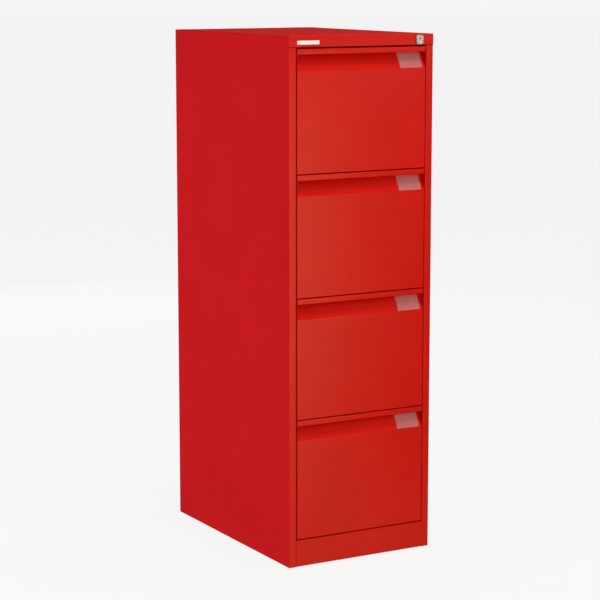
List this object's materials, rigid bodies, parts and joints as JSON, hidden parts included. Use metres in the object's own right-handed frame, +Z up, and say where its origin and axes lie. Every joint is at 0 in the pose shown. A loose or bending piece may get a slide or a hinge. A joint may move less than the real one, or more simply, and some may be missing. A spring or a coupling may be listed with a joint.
{
  "type": "filing cabinet",
  "caption": "Tall narrow steel filing cabinet with a stack of flush full-extension drawers, finger-pull lips, clear label holders and one central lock.",
  "frame": {"origin": "centre of the footprint, on the floor", "axes": "+Z up; the drawers open towards -Y; +X is to the right of a person facing the drawers"},
  "size_m": [0.413, 0.622, 1.321],
  "materials": {
    "red_powder_coat": "semi-gloss fine-grained powder coat",
    "zinc_plated_steel": "bright zinc plated",
    "nickel_plate": "polished nickel plated",
    "white_enamel": "satin white enamel",
    "clear_plastic": "clear moulded plastic, slightly hazy",
    "black_plastic": "black moulded pad"
  },
  "bodies": {
    "carcass": {"left_side_panel": "red_powder_coat", "right_side_panel": "red_powder_coat", "top_panel": "red_powder_coat", "back_panel": "red_powder_coat", "plinth_rail": "red_powder_coat", "base_pan": "red_powder_coat", "left_rear_post": "zinc_plated_steel", "right_rear_post": "zinc_plated_steel", "front_left_levelling_foot": "black_plastic", "front_right_levelling_foot": "black_plastic", "rear_left_levelling_foot": "black_plastic", "rear_right_levelling_foot": "black_plastic", "badge_plate": "white_enamel", "lock_barrel": "nickel_plate", "lock_clip": "zinc_plated_steel", "lock_bar_upper_guide": "zinc_plated_steel", "lock_bar_lower_guide": "zinc_plated_steel", "drawer_1_left_slide_outer": "zinc_plated_steel", "drawer_1_right_slide_outer": "zinc_plated_steel", "drawer_2_left_slide_outer": "zinc_plated_steel", "drawer_2_right_slide_outer": "zinc_plated_steel", "drawer_3_left_slide_outer": "zinc_plated_steel", "drawer_3_right_slide_outer": "zinc_plated_steel", "drawer_4_left_slide_outer": "zinc_plated_steel", "drawer_4_right_slide_outer": "zinc_plated_steel"},
    "lock_cylinder": {"lock_plug": "nickel_plate", "lock_cam": "zinc_plated_steel"},
    "lock_bar": {"lock_bar": "zinc_plated_steel"},
    "drawer_1": {"drawer_1_front": "red_powder_coat", "drawer_1_tray": "red_powder_coat", "drawer_1_label_holder": "clear_plastic", "drawer_1_catch_bracket": "zinc_plated_steel", "drawer_1_left_slide_inner": "zinc_plated_steel", "drawer_1_right_slide_inner": "zinc_plated_steel"},
    "drawer_1_middle_slides": {"drawer_1_left_slide_middle": "zinc_plated_steel", "drawer_1_right_slide_middle": "zinc_plated_steel"},
    "drawer_2": {"drawer_2_front": "red_powder_coat", "drawer_2_tray": "red_powder_coat", "drawer_2_label_holder": "clear_plastic", "drawer_2_catch_bracket": "zinc_plated_steel", "drawer_2_left_slide_inner": "zinc_plated_steel", "drawer_2_right_slide_inner": "zinc_plated_steel"},
    "drawer_2_middle_slides": {"drawer_2_left_slide_middle": "zinc_plated_steel", "drawer_2_right_slide_middle": "zinc_plated_steel"},
    "drawer_3": {"drawer_3_front": "red_powder_coat", "drawer_3_tray": "red_powder_coat", "drawer_3_label_holder": "clear_plastic", "drawer_3_catch_bracket": "zinc_plated_steel", "drawer_3_left_slide_inner": "zinc_plated_steel", "drawer_3_right_slide_inner": "zinc_plated_steel"},
    "drawer_3_middle_slides": {"drawer_3_left_slide_middle": "zinc_plated_steel", "drawer_3_right_slide_middle": "zinc_plated_steel"},
    "drawer_4": {"drawer_4_front": "red_powder_coat", "drawer_4_tray": "red_powder_coat", "drawer_4_label_holder": "clear_plastic", "drawer_4_catch_bracket": "zinc_plated_steel", "drawer_4_left_slide_inner": "zinc_plated_steel", "drawer_4_right_slide_inner": "zinc_plated_steel"},
    "drawer_4_middle_slides": {"drawer_4_left_slide_middle": "zinc_plated_steel", "drawer_4_right_slide_middle": "zinc_plated_steel"}
  },
  "joints": [
    {"name": "drawer_1_slide", "type": "slide", "parent": "carcass", "child": "drawer_1", "axis": [0, -1, 0], "range_m": [0, 0.52]},
    {"name": "drawer_1_middle_slide", "type": "slide", "parent": "carcass", "child": "drawer_1_middle_slides", "axis": [0, -1, 0], "range_m": [0, 0.26]},
    {"name": "drawer_2_slide", "type": "slide", "parent": "carcass", "child": "drawer_2", "axis": [0, -1, 0], "range_m": [0, 0.52]},
    {"name": "drawer_2_middle_slide", "type": "slide", "parent": "carcass", "child": "drawer_2_middle_slides", "axis": [0, -1, 0], "range_m": [0, 0.26]},
    {"name": "drawer_3_slide", "type": "slide", "parent": "carcass", "child": "drawer_3", "axis": [0, -1, 0], "range_m": [0, 0.52]},
    {"name": "drawer_3_middle_slide", "type": "slide", "parent": "carcass", "child": "drawer_3_middle_slides", "axis": [0, -1, 0], "range_m": [0, 0.26]},
    {"name": "drawer_4_slide", "type": "slide", "parent": "carcass", "child": "drawer_4", "axis": [0, -1, 0], "range_m": [0, 0.52]},
    {"name": "drawer_4_middle_slide", "type": "slide", "parent": "carcass", "child": "drawer_4_middle_slides", "axis": [0, -1, 0], "range_m": [0, 0.26]},
    {"name": "lock_turn", "type": "hinge", "parent": "carcass", "child": "lock_cylinder", "pos_m": [0.1648, -0.306, 1.3066], "axis": [0, -1, 0], "range_deg": [0, 90]},
    {"name": "lock_bar_lift", "type": "slide", "parent": "carcass", "child": "lock_bar", "axis": [0, 0, 1], "range_m": [0, 0.01273]}
  ],
  "couplings": [
    {"joint": "drawer_1_middle_slide", "follows": "drawer_1_slide", "ratio": 0.5},
    {"joint": "drawer_2_middle_slide", "follows": "drawer_2_slide", "ratio": 0.5},
    {"joint": "drawer_3_middle_slide", "follows": "drawer_3_slide", "ratio": 0.5},
    {"joint": "drawer_4_middle_slide", "follows": "drawer_4_slide", "ratio": 0.5},
    {"joint": "lock_turn", "follows": "lock_bar_lift", "rad_per_m": 123.41}
  ]
}
